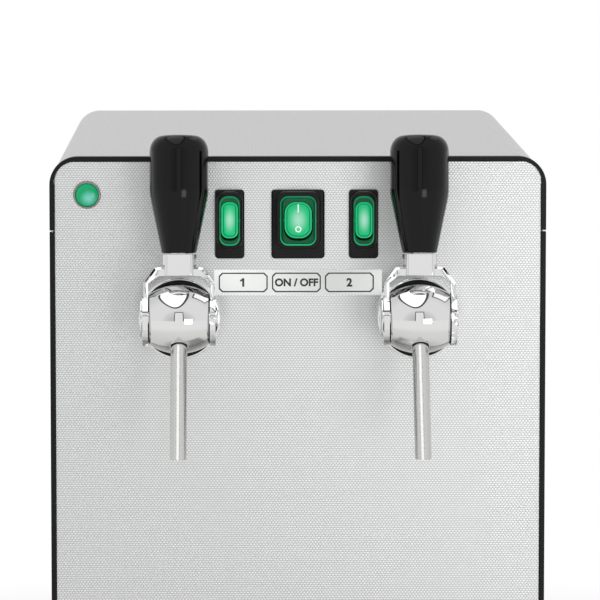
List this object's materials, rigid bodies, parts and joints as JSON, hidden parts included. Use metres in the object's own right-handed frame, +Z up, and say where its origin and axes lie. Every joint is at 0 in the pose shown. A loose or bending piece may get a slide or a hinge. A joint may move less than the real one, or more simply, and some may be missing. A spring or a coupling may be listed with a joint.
{
  "type": "mulled wine dispenser",
  "caption": "Counter-top heated drink dispenser: steel cabinet with lever taps over a drip tray, pumps and flow heaters inside, rocker switches and a signal lamp.",
  "frame": {"origin": "on the floor, under the middle of the whole machine with its shelf and rear fittings", "axes": "the front with the taps faces -Y, +X is to the right seen from the front, +Z is up"},
  "size_m": [0.234, 0.518, 0.3637],
  "materials": {
    "brushed_steel": "brushed",
    "linen_steel": "linen pattern",
    "chrome": "polished",
    "satin_tube": "satin",
    "black_gloss": "polished",
    "black_plastic": "satin",
    "black_rubber": "matte",
    "green_lens": "clear, lit",
    "green_boot": "translucent",
    "label_film": "satin",
    "cast_aluminium": "as cast",
    "nickel_brass": "nickel plated",
    "silicone_hose": "translucent white",
    "motor_paint": "satin",
    "ivory_plastic": "matte"
  },
  "bodies": {
    "cabinet": {"cover_shell": "brushed_steel", "rear_panel": "brushed_steel", "base_pan": "brushed_steel", "front_panel": "linen_steel", "edge_trim_top": "black_rubber", "edge_trim_left": "black_rubber", "edge_trim_right": "black_rubber", "foot_front_left": "black_rubber", "foot_front_right": "black_rubber", "foot_rear_left": "black_rubber", "foot_rear_right": "black_rubber", "switch_housing_pump_1": "black_plastic", "switch_boot_pump_1": "green_boot", "switch_housing_main": "black_plastic", "switch_boot_main": "green_boot", "switch_housing_pump_2": "black_plastic", "switch_boot_pump_2": "green_boot", "lamp_ring": "chrome", "lamp_lens": "green_lens", "label_strip": "label_film", "tap_body_left": "chrome", "tap_rosette_left": "chrome", "pivot_pin_left": "chrome", "tap_nut_left": "nickel_brass", "wine_inlet_left": "nickel_brass", "spout_left": "satin_tube", "heater_left": "cast_aluminium", "pump_head_left": "black_plastic", "pump_motor_left": "motor_paint", "thermostat_left": "ivory_plastic", "tap_hose_left": "silicone_hose", "pressure_hose_left": "silicone_hose", "suction_hose_left": "silicone_hose", "tap_body_right": "chrome", "tap_rosette_right": "chrome", "pivot_pin_right": "chrome", "tap_nut_right": "nickel_brass", "wine_inlet_right": "nickel_brass", "spout_right": "satin_tube", "heater_right": "cast_aluminium", "pump_head_right": "black_plastic", "pump_motor_right": "motor_paint", "thermostat_right": "ivory_plastic", "tap_hose_right": "silicone_hose", "pressure_hose_right": "silicone_hose", "suction_hose_right": "silicone_hose", "cable_gland": "black_plastic", "terminal_block": "ivory_plastic"},
    "lever_left": {"lever_fork_left": "chrome", "lever_handle_left": "black_gloss"},
    "valve_left": {"plunger_left": "nickel_brass"},
    "lever_right": {"lever_fork_right": "chrome", "lever_handle_right": "black_gloss"},
    "valve_right": {"plunger_right": "nickel_brass"},
    "rocker_pump_1": {"switch_rocker_pump_1": "green_lens"},
    "rocker_main": {"switch_rocker_main": "green_lens"},
    "rocker_pump_2": {"switch_rocker_pump_2": "green_lens"},
    "tray": {"drip_tray": "brushed_steel"},
    "grid": {"drip_grid": "brushed_steel"}
  },
  "joints": [
    {"name": "tap_lever_left", "type": "hinge", "parent": "cabinet", "child": "lever_left", "pos_m": [-0.0555, -0.177, 0.2789], "axis": [1, 0, 0], "range_deg": [0, 40]},
    {"name": "valve_slide_left", "type": "slide", "parent": "cabinet", "child": "valve_left", "axis": [0, 1, 0], "range_m": [0, 0.003]},
    {"name": "tap_lever_right", "type": "hinge", "parent": "cabinet", "child": "lever_right", "pos_m": [0.0555, -0.177, 0.2789], "axis": [1, 0, 0], "range_deg": [0, 40]},
    {"name": "valve_slide_right", "type": "slide", "parent": "cabinet", "child": "valve_right", "axis": [0, 1, 0], "range_m": [0, 0.003]},
    {"name": "rocker_tilt_pump_1", "type": "hinge", "parent": "cabinet", "child": "rocker_pump_1", "pos_m": [-0.0322, -0.132, 0.3201], "axis": [1, 0, 0], "range_deg": [0, 14]},
    {"name": "rocker_tilt_main", "type": "hinge", "parent": "cabinet", "child": "rocker_main", "pos_m": [0, -0.132, 0.3201], "axis": [1, 0, 0], "range_deg": [0, 14]},
    {"name": "rocker_tilt_pump_2", "type": "hinge", "parent": "cabinet", "child": "rocker_pump_2", "pos_m": [0.0309, -0.132, 0.3201], "axis": [1, 0, 0], "range_deg": [0, 14]},
    {"name": "drip_tray_slide", "type": "slide", "parent": "cabinet", "child": "tray", "axis": [0, -1, 0], "range_m": [0, 0.13]},
    {"name": "drip_grid_lift", "type": "slide", "parent": "tray", "child": "grid", "axis": [0, 0, 1], "range_m": [0, 0.05]}
  ],
  "couplings": [
    {"joint": "valve_slide_left", "follows": "tap_lever_left", "m_per_rad": 0.0042},
    {"joint": "valve_slide_right", "follows": "tap_lever_right", "m_per_rad": 0.0042}
  ]
}
